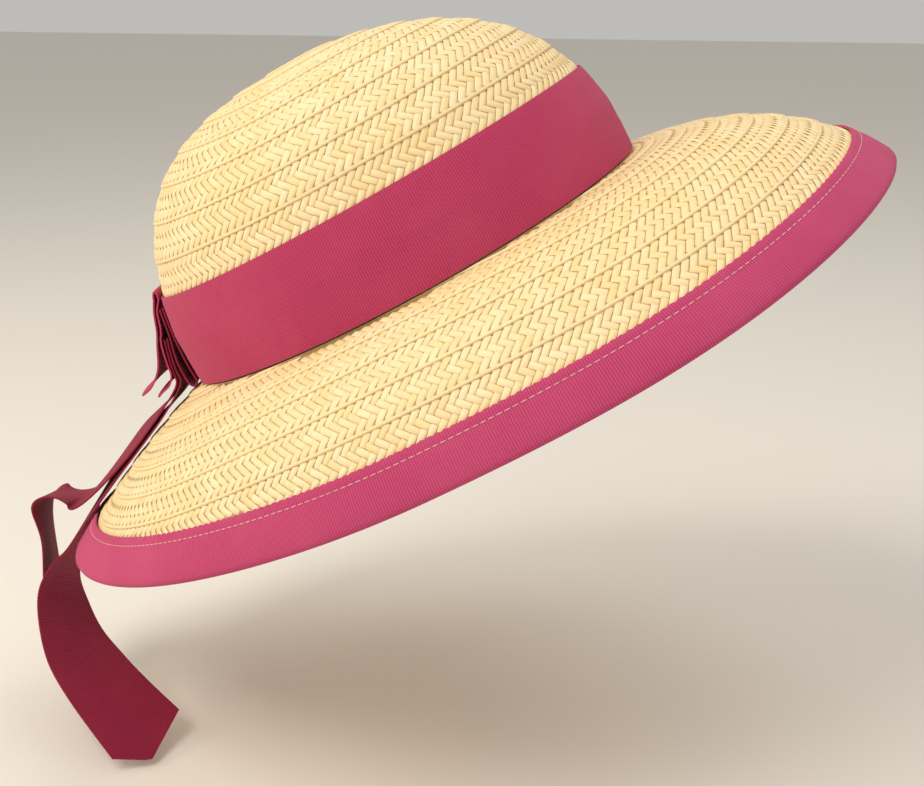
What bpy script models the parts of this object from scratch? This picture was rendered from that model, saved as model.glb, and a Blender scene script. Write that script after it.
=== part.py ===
"""A wide straw poke bonnet with a ribbon band, a ribbon-bound brim and two hanging ribbon tails.

Metres, +Z up, +X forward as the hat is worn. The origin is the centre of the head opening's oval,
where the crown meets the brim. The hat is tipped back about that point, and the tails hang plumb.
The hat's own axes, before it is tipped: X forward, Y to the wearer's left, Z up the crown.
"""

import math

import bpy
import numpy as np

# Head opening, measured on the outside of the straw
HEAD_LENGTH = 0.2025
HEAD_WIDTH = 0.1634
HEAD_SIDE_DROP = 0.0022
TILT_BACK = math.radians(29.2)

# Crown
CROWN_HEIGHT = 0.095
CROWN_TIP_FORWARD = 0.001
CROWN_SHOULDER = 0.614
CROWN_TUCK = 0.033
CROWN_FULLNESS = {"front": 1.18, "side": 1.007, "back": 0.69}
CROWN_ROWS = 8

# Brim: widths from the head line to the bound edge, and the downward slopes that bend it
BRIM_WIDTH = {"front": 0.1052, "side": 0.0798, "back": 0.0977}
BRIM_CORNER_CUT = {"front": -0.0002, "back": 0.0041}
HEAD_SLOPE = {"front": math.radians(-0.4), "side": math.radians(15.2), "back": math.radians(15.4)}
EDGE_SLOPE = {"front": math.radians(61.0), "side": math.radians(78.2), "back": math.radians(30.0)}
CORNER_SLOPE = {"front": 0.0, "back": math.radians(3.2)}
SLOPE_GROWTH = {"front": 1.11, "side": 1.01, "back": 0.86}
BRIM_ROWS = 6
BRIM_FIRST_ROW = 0.029
ROW_RUN_OFF = 0.010

# Sewn braid
STRAW_WALL = 0.0018
BRAID_ROW = 0.013
BRAID_LAP = 0.0008
LAP_STEP = 0.0012
COLLAR_HEIGHT = 0.012
COLLAR_WALL = 0.0014

# Ribbon
PIECE_GAP = 0.0003
RIBBON_WIDTH = 0.038
RIBBON_THICKNESS = 0.001
BAND_CREASE = 0.0006
BOW_PINCH = 0.8
BOW_ANGLE = math.radians(184.0)
TAIL_DROP = 0.100

# Places under the binding where the brim and the binding are both shaped, as shares of its depth
EDGE_STATIONS = (0.9, 0.6, 0.3)

# Mesh fineness
AROUND = 48
PROFILE_STEPS = 160
RIBBON_COLUMNS = 3
STEPS_PER_SPAN = 3

STRAW_COLOUR = (0.86, 0.69, 0.38, 1.0)
BAND_COLOUR = (0.53, 0.055, 0.10, 1.0)
BINDING_COLOUR = (0.56, 0.07, 0.15, 1.0)
TAIL_COLOUR = (0.36, 0.02, 0.07, 1.0)

# The bow's pleats in profile: out from the band in ribbon layers, and down it as a share of its width
LOOP_PLEAT = [
    # (out, down)
    (0.70, 0.12),
    (0.70, 0.31),
    (0.73, 0.45),
    (0.80, 0.67),
    (0.95, 0.83),
    (1.00, 0.95),
    (1.45, 1.00),
    (2.42, 1.02),
    (3.40, 1.00),
    (3.85, 0.95),
    (3.75, 0.83),
    (3.35, 0.67),
    (2.10, 0.45),
    (1.78, 0.31),
    (1.74, 0.12),
]
FLAP_PLEAT = [
    # (out, down)
    (19.80, 0.905),
    (16.00, 0.865),
    (12.80, 0.785),
    (9.90, 0.670),
    (6.90, 0.450),
    (5.20, 0.310),
    (3.95, 0.120),
    (3.00, 0.020),
    (2.25, -0.050),
    (1.60, -0.082),
    (1.05, -0.050),
    (1.40, 0.020),
    (2.80, 0.120),
    (3.80, 0.310),
    (5.45, 0.450),
    (6.75, 0.670),
    (7.50, 0.810),
    (9.90, 0.910),
    (13.30, 0.955),
    (15.50, 0.990),
]
TAIL_IN_BOW = [
    # (near tail out, far tail out, down)
    (3.20, 4.20, 0.45),
    (4.45, 5.45, 0.67),
    (5.00, 6.05, 0.83),
    (5.70, 7.10, 0.95),
]
# The near tail over the brim
TAIL_ON_BRIM = [
    # (share of the width, lift as a share of the ribbon's thickness, twist in degrees)
    (0.22, 2.4, 0.0),
    (0.36, 2.5, -3.0),
    (0.52, 3.4, -6.0),
    (0.68, 3.7, -6.0),
    (0.84, 3.6, -4.0),
    (0.97, 3.7, -2.0),
]
# The last of those places that the far tail lies on, before it springs outwards
FAR_TAIL_LEAVES = 3
# How far the far tail lies off the near one over the brim, in ribbon layers
TAIL_LAYER = 1.4
# The tails below the brim, as shares of TAIL_DROP, measured from the brim's bound edge
NEAR_TAIL = [
    # (out, to the wearer's left, down, twist in degrees)
    (0.077, 0.014, 0.071, 7.0),
    (0.117, -0.046, 0.200, 7.0),
    (0.086, -0.116, 0.323, 8.0),
    (0.006, -0.196, 0.455, 11.0),
    (-0.117, -0.276, 0.561, 14.0),
    (-0.248, -0.346, 0.654, 19.0),
    (-0.374, -0.406, 0.741, 26.0),
]
FAR_TAIL = [
    # (out, to the wearer's left, down, twist in degrees)
    (-0.022, 0.064, -0.188, -3.0),
    (0.052, 0.064, -0.160, 8.0),
    (0.125, 0.058, -0.168, 20.0),
    (0.195, 0.052, -0.172, 14.0),
    (0.225, 0.046, -0.100, -6.0),
    (0.216, 0.044, -0.005, -13.0),
    (0.210, 0.040, 0.110, -12.0),
    (0.209, 0.034, 0.250, -9.0),
    (0.214, 0.034, 0.380, -5.0),
]
# The cut end of a tail: place across the ribbon and how far it runs on, as shares of its width
TAIL_END = [(-0.5, 0.0), (0.16, 0.30), (0.5, 0.02)]
# How much the tails bend across: a share of the head's roundness, from the bow to the edge
CURLS_IN_BOW = [1.0, 0.83, 0.67, 0.5]
CURL_ON_BRIM = 0.5


def clear_scene():
    """Removes every object, so that the bonnet stands alone."""
    for old in list(bpy.data.objects):
        bpy.data.objects.remove(old, do_unlink=True)


def unit(vector):
    """The vector, or each row of it, at length one."""
    return vector / np.linalg.norm(vector, axis=-1, keepdims=True)


def around(values, angle):
    """A value between those of the front, side and back, at an angle round the oval."""
    along, across = math.cos(angle) ** 2, math.sin(angle) ** 2
    end = values["front"] if math.cos(angle) > 0 else values["back"]
    return end * along + values["side"] * across


def at_corner(values, angle):
    """A value that is felt at the corners between front or back and side."""
    end = values["front"] if math.cos(angle) > 0 else values["back"]
    return end * math.sin(2 * angle) ** 2


def head_line(angle):
    """A point of the oval where the crown's outer face meets the brim."""
    return np.array(
        [
            HEAD_LENGTH / 2 * math.cos(angle),
            HEAD_WIDTH / 2 * math.sin(angle),
            -HEAD_SIDE_DROP * math.sin(angle) ** 2,
        ]
    )


def outward(angle):
    """The level direction away from the head, square to the oval."""
    return unit(
        np.array([math.cos(angle) / HEAD_LENGTH, math.sin(angle) / HEAD_WIDTH, 0.0])
    )


def crown_profile(angle):
    """Points up the crown's outer face from the head line to the tip, and the distance to each."""
    turn = np.linspace(0, 1, PROFILE_STEPS) ** 1.6 * math.pi / 2
    turn = np.clip(turn, 0, math.pi / 2)
    reach = np.cos(turn).clip(0) ** around(CROWN_FULLNESS, angle)
    reach *= 1 - CROWN_TUCK * np.sin(2 * turn)
    lift = np.sin(turn) ** CROWN_SHOULDER
    base = head_line(angle)
    points = np.stack(
        [
            base[0] * reach + CROWN_TIP_FORWARD * lift,
            base[1] * reach,
            base[2] * (1 - lift) + CROWN_HEIGHT * lift,
        ],
        axis=1,
    )
    return points, lengths_along(points)


def brim_profile(angle):
    """Points across the brim's upper face from the head line to its edge, and the distance to each."""
    share = np.linspace(0, 1, PROFILE_STEPS)
    width = around(BRIM_WIDTH, angle) - at_corner(BRIM_CORNER_CUT, angle)
    first = around(HEAD_SLOPE, angle)
    last = around(EDGE_SLOPE, angle) + at_corner(CORNER_SLOPE, angle)
    slope = first + (last - first) * share ** around(SLOPE_GROWTH, angle)
    step = width / (PROFILE_STEPS - 1)
    middle = (slope[1:] + slope[:-1]) / 2
    out = np.concatenate([[0], np.cumsum(np.cos(middle) * step)])
    down = np.concatenate([[0], np.cumsum(np.sin(middle) * step)])
    points = head_line(angle) + outward(angle) * out[:, None]
    points[:, 2] -= down
    return points, lengths_along(points)


def lengths_along(points):
    """The distance from the first point to each point, along the line through them."""
    return np.concatenate([[0], np.cumsum(np.linalg.norm(np.diff(points, axis=0), axis=1))])


def point_on(profile, angle, distance):
    """The point at a distance along a profile."""
    points, reached = profile(angle)
    return np.array([np.interp(distance, reached, points[:, axis]) for axis in range(3)])


def length_of(profile, angle):
    """The whole length of a profile."""
    return profile(angle)[1][-1]


def raised(profile, angle, distance, height):
    """The point at a distance along a profile, raised from its face by a height."""
    turn, step = 0.01, 0.0008
    total = length_of(profile, angle)
    near, far = max(distance - step, 0), min(distance + step, total)
    along = point_on(profile, angle, far) - point_on(profile, angle, near)
    share = distance / total
    left = point_on(profile, angle + turn, share * length_of(profile, angle + turn))
    right = point_on(profile, angle - turn, share * length_of(profile, angle - turn))
    normal = unit(np.cross(along, left - right))
    if profile is crown_profile:
        normal = -normal
        if share > 0.985:
            normal = np.array([0.0, 0.0, 1.0])
    elif normal[2] < 0:
        normal = -normal
    return point_on(profile, angle, distance) + normal * height


def tipped(points):
    """Points of the hat's own axes, tipped back as the hat is worn."""
    cosine, sine = math.cos(TILT_BACK), math.sin(TILT_BACK)
    turn = np.array([[cosine, 0, -sine], [0, 1, 0], [sine, 0, cosine]])
    return np.asarray(points) @ turn.T


def angles():
    """The angles round the oval at which every section is made."""
    return [2 * math.pi * step / AROUND for step in range(AROUND)]


def material(name, colour, roughness):
    """A plain material for straw or cloth."""
    made = bpy.data.materials.new(name)
    made.use_nodes = True
    shader = made.node_tree.nodes["Principled BSDF"]
    shader.inputs["Base Color"].default_value = colour
    shader.inputs["Roughness"].default_value = roughness
    shader.inputs["Metallic"].default_value = 0.0
    return made


def add_object(name, points, faces, finish, parent=None):
    """An object made of points and faces, shaded smooth except at its sharp edges."""
    mesh = bpy.data.meshes.new(name)
    mesh.from_pydata([tuple(point) for point in points], [], faces)
    mesh.shade_smooth()
    mesh.set_sharp_from_angle(angle=math.radians(50))
    mesh.materials.append(finish)
    made = bpy.data.objects.new(name, mesh)
    bpy.context.scene.collection.objects.link(made)
    made.parent = parent
    return made


def swept_ring(name, loops, finish, parent):
    """A closed ring whose section is the loops in turn, up its outer side and down its inner side."""
    count = len(loops)
    points = [point for loop in loops for point in loop]
    faces = []
    for loop in range(count):
        after = (loop + 1) % count
        for step in range(AROUND):
            beside = (step + 1) % AROUND
            faces.append(
                (
                    loop * AROUND + step,
                    loop * AROUND + beside,
                    after * AROUND + beside,
                    after * AROUND + step,
                )
            )
    return add_object(name, points, faces, finish, parent)


def crown_row_distances(angle):
    """Distance and depth of each loop of the crown's outer face, from its lower edge to its last row."""
    top = length_of(crown_profile, angle)
    start = RIBBON_WIDTH - LAP_STEP
    row = (top - start) / CROWN_ROWS
    loops = [(PIECE_GAP, 0.0), (start / 3, 0.0), (start * 2 / 3, 0.0), (start - LAP_STEP, -BRAID_LAP)]
    for count in range(CROWN_ROWS):
        loops.append((start + row * count, 0.0))
        if count < CROWN_ROWS - 1:
            loops.append((start + row * (count + 1) - LAP_STEP, -BRAID_LAP))
    loops.append((start + row * (CROWN_ROWS - 0.45), -BRAID_LAP / 3))
    return loops


def build_crown(finish, parent):
    """The hollow crown, whose rows of braid each lap over the row below."""
    inner_shares = [0.0, 0.08, 0.25, 0.42, 0.60, 0.78, 0.93]
    outer = list(zip(*[crown_row_distances(angle) for angle in angles()]))
    loops = []
    for loop in outer:
        loops.append(
            [raised(crown_profile, angle, *spot) for angle, spot in zip(angles(), loop)]
        )
    inner = []
    for share in inner_shares:
        ring = []
        for angle in angles():
            distance = max(share * length_of(crown_profile, angle), PIECE_GAP)
            ring.append(raised(crown_profile, angle, distance, -STRAW_WALL))
        inner.append(ring)
    for step in range(AROUND):
        inner[0][step][2] = loops[0][step][2]
    rings = inner[::-1] + loops
    points = [point for ring in rings for point in ring]
    faces = []
    for ring in range(len(rings) - 1):
        for step in range(AROUND):
            beside = (step + 1) % AROUND
            faces.append(
                (
                    ring * AROUND + step,
                    ring * AROUND + beside,
                    (ring + 1) * AROUND + beside,
                    (ring + 1) * AROUND + step,
                )
            )
    tip = point_on(crown_profile, 0.0, length_of(crown_profile, 0.0))
    points += [tip - np.array([0, 0, STRAW_WALL]), tip]
    last = (len(rings) - 1) * AROUND
    for step in range(AROUND):
        beside = (step + 1) % AROUND
        faces.append((len(points) - 2, beside, step))
        faces.append((last + step, last + beside, len(points) - 1))
    return add_object("crown", points, faces, finish, parent)


def edge_distance(angle, share):
    """The distance from the head line to a share of the binding's depth in from the brim's edge."""
    return length_of(brim_profile, angle) - share * RIBBON_WIDTH / 2


def brim_loops(angle):
    """Distance and depth of each loop of the brim's upper face, from the head line outwards."""
    width = length_of(brim_profile, angle) - RIBBON_THICKNESS - PIECE_GAP
    at_back = max(-math.cos(angle), 0) ** 2
    loops = []
    for row in range(BRIM_ROWS - 1, -1, -1):
        from_edge = BRIM_FIRST_ROW + BRAID_ROW * row - ROW_RUN_OFF * at_back
        free = width - from_edge
        held = max(free, LAP_STEP * (BRIM_ROWS - row))
        fade = min(max(free / BRAID_ROW, 0), 1)
        loops.append((held, 0.0))
        loops.append((held + LAP_STEP * 0.7, -BRAID_LAP * fade))
    for share in EDGE_STATIONS:
        loops.append((edge_distance(angle, share), 0.0))
    loops.append((width, 0.0))
    return loops


def build_brim(finish, parent):
    """The brim, with the collar that stands up inside the crown."""
    under_shares = [0.6, 0.4, 0.2, 0.03]
    upper = list(zip(*[brim_loops(angle) for angle in angles()]))
    inside = STRAW_WALL + PIECE_GAP
    loops = []

    def collar(distance, depth):
        return [raised(crown_profile, angle, distance, -depth) for angle in angles()]

    seat = [head_line(angle) - outward(angle) * inside for angle in angles()]
    loops.append(collar(COLLAR_HEIGHT, inside))
    loops.append(collar(COLLAR_HEIGHT / 2, inside))
    loops.append(seat)
    loops.append([head_line(angle) for angle in angles()])
    for loop in upper:
        loops.append([raised(brim_profile, angle, *spot) for angle, spot in zip(angles(), loop)])
    edge = [
        raised(
            brim_profile,
            angle,
            length_of(brim_profile, angle) - RIBBON_THICKNESS - PIECE_GAP,
            -STRAW_WALL,
        )
        for angle in angles()
    ]
    loops.append(edge)
    for share in reversed(EDGE_STATIONS):
        loops.append(
            [
                raised(brim_profile, angle, edge_distance(angle, share), -STRAW_WALL)
                for angle in angles()
            ]
        )
    for share in under_shares:
        ring = []
        for angle in angles():
            width = length_of(brim_profile, angle)
            ring.append(raised(brim_profile, angle, share * width, -STRAW_WALL))
        loops.append(ring)
    foot = [
        head_line(angle) - outward(angle) * (inside + COLLAR_WALL / 2) - np.array([0, 0, STRAW_WALL])
        for angle in angles()
    ]
    loops.append(foot)
    rise = [
        head_line(angle) - outward(angle) * (inside + COLLAR_WALL) - np.array([0, 0, STRAW_WALL / 3])
        for angle in angles()
    ]
    loops.append(rise)
    loops.append(collar(COLLAR_HEIGHT, inside + COLLAR_WALL))
    return swept_ring("brim", loops[::-1], finish, parent)


def build_band(finish, parent):
    """The ribbon band round the foot of the crown, with its soft lengthwise crease."""
    rows = [
        # (share of the ribbon's width, share of the crease's height)
        (0.0, 0.0),
        (0.3, 0.6),
        (0.55, 1.0),
        (0.8, 0.3),
        (1.0, 0.0),
    ]
    seat = PIECE_GAP * 2
    loops = []
    for share, swell in rows:
        height = PIECE_GAP + RIBBON_THICKNESS + BAND_CREASE * swell
        loops.append(
            [raised(crown_profile, angle, seat + share * RIBBON_WIDTH, height) for angle in angles()]
        )
    for share, _ in reversed(rows):
        loops.append(
            [raised(crown_profile, angle, seat + share * RIBBON_WIDTH, PIECE_GAP) for angle in angles()]
        )
    return swept_ring("ribbon_band", loops, finish, parent)


def build_binding(finish, parent):
    """The ribbon folded in half over the brim's edge."""
    leg = RIBBON_WIDTH / 2
    outer, inner = PIECE_GAP + RIBBON_THICKNESS, PIECE_GAP
    nose = RIBBON_THICKNESS * 0.9
    _, middle, near = EDGE_STATIONS
    section = [
        # (distance in from the brim's edge, height above the brim's upper face)
        (leg, inner),
        (leg, outer),
        (leg * middle, outer),
        (leg * near, outer),
        (nose, outer * 0.8),
        (0.0, -STRAW_WALL * 0.15),
        (0.0, -STRAW_WALL * 0.85),
        (nose, -STRAW_WALL - outer * 0.8),
        (leg * near, -STRAW_WALL - outer),
        (leg * middle, -STRAW_WALL - outer),
        (leg, -STRAW_WALL - outer),
        (leg, -STRAW_WALL - inner),
        (leg * middle, -STRAW_WALL - inner),
        (leg * near, -STRAW_WALL - inner),
        (RIBBON_THICKNESS, -STRAW_WALL - inner),
        (RIBBON_THICKNESS, inner),
        (leg * near, inner),
        (leg * middle, inner),
    ]
    loops = []
    for from_edge, height in section:
        ring = []
        for angle in angles():
            distance = length_of(brim_profile, angle) - from_edge
            ring.append(raised(brim_profile, angle, distance, height))
        loops.append(ring)
    return swept_ring("brim_binding", loops[::-1], finish, parent)


def band_face(share):
    """A point of the band's outer face at the bow, a share of the ribbon's width down from its top."""
    swell = BAND_CREASE * 4 * share * (1 - share)
    distance = PIECE_GAP * 2 + RIBBON_WIDTH * (1 - share)
    height = PIECE_GAP + RIBBON_THICKNESS + swell
    return tipped(raised(crown_profile, BOW_ANGLE, distance, height))


def bow_axes():
    """The bow's directions down the band, across it, out from it and square to the head's oval."""
    down = unit(band_face(1.0) - band_face(0.0))
    facing = outward(BOW_ANGLE)
    across = np.array([-facing[1], facing[0], 0.0])
    out = unit(np.cross(across, down))
    if out @ facing < 0:
        out = -out
    return down, across, out, tipped(facing)


def bow_point(layers, share):
    """A point of the bow's profile: ribbon layers out from the band, a share of its width down it."""
    down, _, out, _ = bow_axes()
    top = band_face(0.0)
    bulge = (band_face(0.5) - top) @ out
    spacing = RIBBON_THICKNESS + PIECE_GAP
    swell = bulge * 4 * share * (1 - share) if 0 < share < 1 else 0.0
    return top + down * share * RIBBON_WIDTH + out * (layers * spacing + swell)


def smooth_line(stations, steps):
    """Rows of numbers read from a smooth curve through the stations."""
    stations = np.array(stations, float)
    padded = np.vstack(
        [2 * stations[0] - stations[1], stations, 2 * stations[-1] - stations[-2]]
    )
    rows = []
    for index in range(1, len(padded) - 2):
        before, here, there, beyond = padded[index - 1 : index + 3]
        for share in np.linspace(0, 1, steps, endpoint=False):
            rows.append(
                0.5
                * (
                    2 * here
                    + (there - before) * share
                    + (2 * before - 5 * here + 4 * there - beyond) * share**2
                    + (3 * here - before - 3 * there + beyond) * share**3
                )
            )
    rows.append(stations[-1])
    return np.array(rows)


def ribbon(name, path, across, widths, curls, cuts, finish):
    """A ribbon as a thin solid along a path. Curls push its two edges along a direction."""
    forward = unit(np.gradient(path, axis=0))
    across = unit(across - forward * (across * forward).sum(axis=1, keepdims=True))
    facing = np.cross(forward, across)
    columns = np.linspace(-0.5, 0.5, RIBBON_COLUMNS + 1)
    points = []
    for row in range(len(path)):
        for side in (0.5, -0.5):
            for column in columns:
                point = path[row] + across[row] * column * widths[row]
                point = point + curls[row] * (2 * column) ** 2
                point = point + forward[row] * cuts[row] * end_line(column)
                points.append(point + facing[row] * side * RIBBON_THICKNESS)
    across_count = RIBBON_COLUMNS + 1
    ring = 2 * across_count
    order = list(range(across_count)) + list(range(ring - 1, across_count - 1, -1))
    faces = []
    for row in range(len(path) - 1):
        for index in range(ring):
            here, beside = order[index], order[(index + 1) % ring]
            faces.append(
                (
                    row * ring + here,
                    (row + 1) * ring + here,
                    (row + 1) * ring + beside,
                    row * ring + beside,
                )
            )
    last = (len(path) - 1) * ring
    for column in range(RIBBON_COLUMNS):
        above, below = column, column + across_count
        faces.append((above, above + 1, below + 1, below))
        faces.append((last + above, last + below, last + below + 1, last + above + 1))
    return add_object(name, points, faces, finish)


def end_line(column):
    """How far the cut end of a tail runs on at a place across it, as a share of its width."""
    return np.interp(column, *zip(*TAIL_END))


def curl_at(width):
    """How far the edges of a ribbon of this width are carried back by the oval's roundness."""
    radius = (HEAD_WIDTH / 2) ** 2 / (HEAD_LENGTH / 2)
    return (width / 2) ** 2 / (2 * radius)


def build_pleat(name, profile, finish):
    """One folded pleat of the bow, pinched at its top and full at its foot."""
    _, across, _, from_head = bow_axes()
    shares = smooth_line(profile, STEPS_PER_SPAN)
    path = np.array([bow_point(layers, share) for layers, share in shares])
    fullness = BOW_PINCH + (1 - BOW_PINCH) * shares[:, 1].clip(0, 1)
    widths = RIBBON_WIDTH * fullness
    curls = np.array([-from_head * curl_at(width) for width in widths])
    sideways = np.tile(across, (len(path), 1))
    return ribbon(name, path, sideways, widths, curls, np.zeros(len(path)), finish)


def build_tail(name, layer, lying, hanging, finish):
    """A tail that comes out of the bow, lies over the brim and hangs from its edge."""
    _, across, _, from_head = bow_axes()
    spacing = RIBBON_THICKNESS + PIECE_GAP
    back = length_of(brim_profile, BOW_ANGLE)
    edge = tipped(point_on(brim_profile, BOW_ANGLE, back))
    rows = []
    for (*outs, share), curl in zip(TAIL_IN_BOW, CURLS_IN_BOW):
        rows.append([*bow_point(outs[layer], share), 0.0, curl])
    for share, lift, twist in lying:
        height = lift * RIBBON_THICKNESS + layer * TAIL_LAYER * spacing
        spot = tipped(raised(brim_profile, BOW_ANGLE, share * back, height))
        rows.append([*spot, math.radians(twist), CURL_ON_BRIM])
    for out, left, down, twist in hanging:
        spot = edge + TAIL_DROP * np.array([-out, left, -down])
        rows.append([*spot, math.radians(twist), 0.0])
    lines = smooth_line(rows, STEPS_PER_SPAN)
    path, twists, rounds = lines[:, :3], lines[:, 3], lines[:, 4]
    forward = unit(np.gradient(path, axis=0))
    level = across - forward * (forward @ across)[:, None]
    level = unit(level)
    turned = (
        level * np.cos(twists)[:, None] + np.cross(forward, level) * np.sin(twists)[:, None]
    )
    in_bow = np.linspace(0, 1, len(path))
    roundness = np.clip(1 - in_bow * 3, 0, 1)
    widths = RIBBON_WIDTH * (1 - (1 - BOW_PINCH) * roundness * 0.75)
    curls = np.array([-from_head * curl_at(w) * r for w, r in zip(widths, rounds)])
    cuts = RIBBON_WIDTH * np.clip(in_bow * 8 - 7, 0, 1)
    return ribbon(name, path, turned, widths, curls, cuts, finish)


def build():
    """Makes every piece of the bonnet."""
    clear_scene()
    straw = material("straw", STRAW_COLOUR, 0.7)
    band = material("band_ribbon", BAND_COLOUR, 0.85)
    binding = material("binding_ribbon", BINDING_COLOUR, 0.85)
    tails = material("tail_ribbon", TAIL_COLOUR, 0.85)

    tilt = bpy.data.objects.new("hat_tilt", None)
    bpy.context.scene.collection.objects.link(tilt)
    tilt.rotation_euler = (0.0, -TILT_BACK, 0.0)

    build_crown(straw, tilt)
    build_brim(straw, tilt)
    build_band(band, tilt)
    build_binding(binding, tilt)
    build_pleat("bow_loop", LOOP_PLEAT, tails)
    build_pleat("bow_flap", FLAP_PLEAT, band)
    build_tail("tail_near", 0, TAIL_ON_BRIM, NEAR_TAIL, tails)
    build_tail("tail_far", 1, TAIL_ON_BRIM[:FAR_TAIL_LEAVES], FAR_TAIL, tails)


build()
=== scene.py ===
# %% Load the frame
import math

import bpy
import numpy as np
from mathutils import Matrix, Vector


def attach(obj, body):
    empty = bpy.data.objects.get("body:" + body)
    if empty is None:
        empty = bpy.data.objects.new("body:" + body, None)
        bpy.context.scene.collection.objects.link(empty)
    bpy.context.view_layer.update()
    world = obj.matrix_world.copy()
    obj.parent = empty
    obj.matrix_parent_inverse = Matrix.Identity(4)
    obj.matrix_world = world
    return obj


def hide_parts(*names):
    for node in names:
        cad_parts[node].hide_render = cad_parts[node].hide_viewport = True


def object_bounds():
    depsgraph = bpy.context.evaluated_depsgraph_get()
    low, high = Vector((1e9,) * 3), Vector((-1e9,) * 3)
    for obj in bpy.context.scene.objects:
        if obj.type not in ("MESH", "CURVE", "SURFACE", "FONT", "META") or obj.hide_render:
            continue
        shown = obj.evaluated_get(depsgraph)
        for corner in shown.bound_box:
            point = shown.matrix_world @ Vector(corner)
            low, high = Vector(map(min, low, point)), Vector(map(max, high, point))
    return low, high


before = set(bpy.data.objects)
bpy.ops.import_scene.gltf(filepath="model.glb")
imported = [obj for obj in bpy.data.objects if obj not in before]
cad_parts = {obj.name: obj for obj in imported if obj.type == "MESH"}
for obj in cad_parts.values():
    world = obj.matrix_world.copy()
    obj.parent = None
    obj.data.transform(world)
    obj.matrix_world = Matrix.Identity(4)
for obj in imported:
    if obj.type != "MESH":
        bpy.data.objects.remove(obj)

cad_box = [[float(value) for value in corner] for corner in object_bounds()]
print("CAD box", cad_box)

# %% [markdown]
# ## The bonnet
# A straw bonnet of sewn braid, with a ribbon round the crown, a ribbon folded over the brim's edge
# and a bow at the back whose two tails hang free. This lesson dresses the plain CAD model: real
# plaited splints on every wall, ribbed ribbon, a line of top stitching, and soft light.
#
# Everything is in metres. X points forward, Y to the wearer's left and Z up.

# %% Helpers for vectors and objects


def unit(vectors):
    """Vectors at length one."""
    return vectors / np.maximum(np.linalg.norm(vectors, axis=-1, keepdims=True), 1e-12)


def turns_round(count):
    """Angles in equal steps once round the oval."""
    return np.arange(count) * 2 * math.pi / count


def new_object(name, data):
    """An object at the origin, in the scene."""
    made = bpy.data.objects.new(name, data)
    bpy.context.scene.collection.objects.link(made)
    return made


def set_pose(made, axes, place):
    """Turns an object to three axes of its own and puts it in its place."""
    pose = np.eye(4)
    pose[:3, :3] = np.stack(axes, axis=1)
    pose[:3, 3] = place
    made.matrix_world = Matrix(pose.tolist())


def distances(points, closed=False):
    """The distance of each point from the first, along the line through them."""
    steps = np.roll(points, -1, axis=0) - points if closed else np.diff(points, axis=0)
    return np.concatenate([[0], np.cumsum(np.linalg.norm(steps, axis=1))])


# %% [markdown]
# ## Camera
# The camera stands at the wearer's right, a little above the brim. Its place and lens come from
# fitting the hat's outline, so the render can be laid over the photograph.

# %% Camera
CAMERA_PLACE = (0.09228, -0.52896, 0.1181)
CAMERA_FORWARD = np.array([-0.1264, 0.9425, -0.3093])
CAMERA_ROLL = 0.006
LENS_MM = 51.1
SENSOR_MM = 36.0

forward = CAMERA_FORWARD / np.linalg.norm(CAMERA_FORWARD)
right = np.cross(forward, [0.0, 0.0, 1.0])
right /= np.linalg.norm(right)
above = np.cross(right, forward)
turned_right = right * math.cos(CAMERA_ROLL) + above * math.sin(CAMERA_ROLL)
turned_above = above * math.cos(CAMERA_ROLL) - right * math.sin(CAMERA_ROLL)

lens = bpy.data.cameras.new("camera")
lens.lens = LENS_MM
lens.sensor_width = SENSOR_MM
lens.clip_start = 0.01
camera = new_object("camera", lens)
set_pose(camera, [turned_right, turned_above, -forward], CAMERA_PLACE)
bpy.context.scene.camera = camera
print("camera at", CAMERA_PLACE, "lens", LENS_MM)

# %% [markdown]
# ## The hat's own shape
# The crown and the brim each follow a rule: a profile that changes smoothly round an oval. Writing
# the rule once lets every row of braid, every stitch and every ribbon sit on the same surface.
# The sizes repeat those of the CAD source.

# %% Sizes
HEAD_LENGTH = 0.2025
HEAD_WIDTH = 0.1634
HEAD_SIDE_DROP = 0.0022
TILT_BACK = math.radians(29.2)

CROWN_HEIGHT = 0.095
CROWN_TIP_FORWARD = 0.001
CROWN_SHOULDER = 0.614
CROWN_TUCK = 0.033
CROWN_FULLNESS = {"front": 1.18, "side": 1.007, "back": 0.69}
CROWN_STEP_GROWTH = 1.6
CROWN_ROWS = 8

BRIM_WIDTH = {"front": 0.1052, "side": 0.0798, "back": 0.0977}
BRIM_CORNER_CUT = {"front": -0.0002, "back": 0.0041}
HEAD_SLOPE = {"front": math.radians(-0.4), "side": math.radians(15.2), "back": math.radians(15.4)}
EDGE_SLOPE = {"front": math.radians(61.0), "side": math.radians(78.2), "back": math.radians(30.0)}
CORNER_SLOPE = {"front": 0.0, "back": math.radians(3.2)}
SLOPE_GROWTH = {"front": 1.11, "side": 1.01, "back": 0.86}
BRIM_ROWS = 6
BRIM_FIRST_ROW = 0.029
ROW_RUN_OFF = 0.010

STRAW_WALL = 0.0018
BRAID_ROW = 0.013
BRAID_LAP = 0.0008
LAP_STEP = 0.0012
COLLAR_HEIGHT = 0.012
COLLAR_WALL = 0.0014

PIECE_GAP = 0.0003
RIBBON_WIDTH = 0.038
RIBBON_THICKNESS = 0.001
BAND_CREASE = 0.0006
BOW_PINCH = 0.8
BOW_ANGLE = math.radians(184.0)
TAIL_DROP = 0.100

# %% Helpers for values that change round the oval


def around(values, angle):
    """A value between those of the front, side and back."""
    end = np.where(np.cos(angle) > 0, values["front"], values["back"])
    return end * np.cos(angle) ** 2 + values["side"] * np.sin(angle) ** 2


def at_corner(values, angle):
    """A value felt at the corners between front or back and side."""
    end = np.where(np.cos(angle) > 0, values["front"], values["back"])
    return end * np.sin(2 * angle) ** 2


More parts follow.
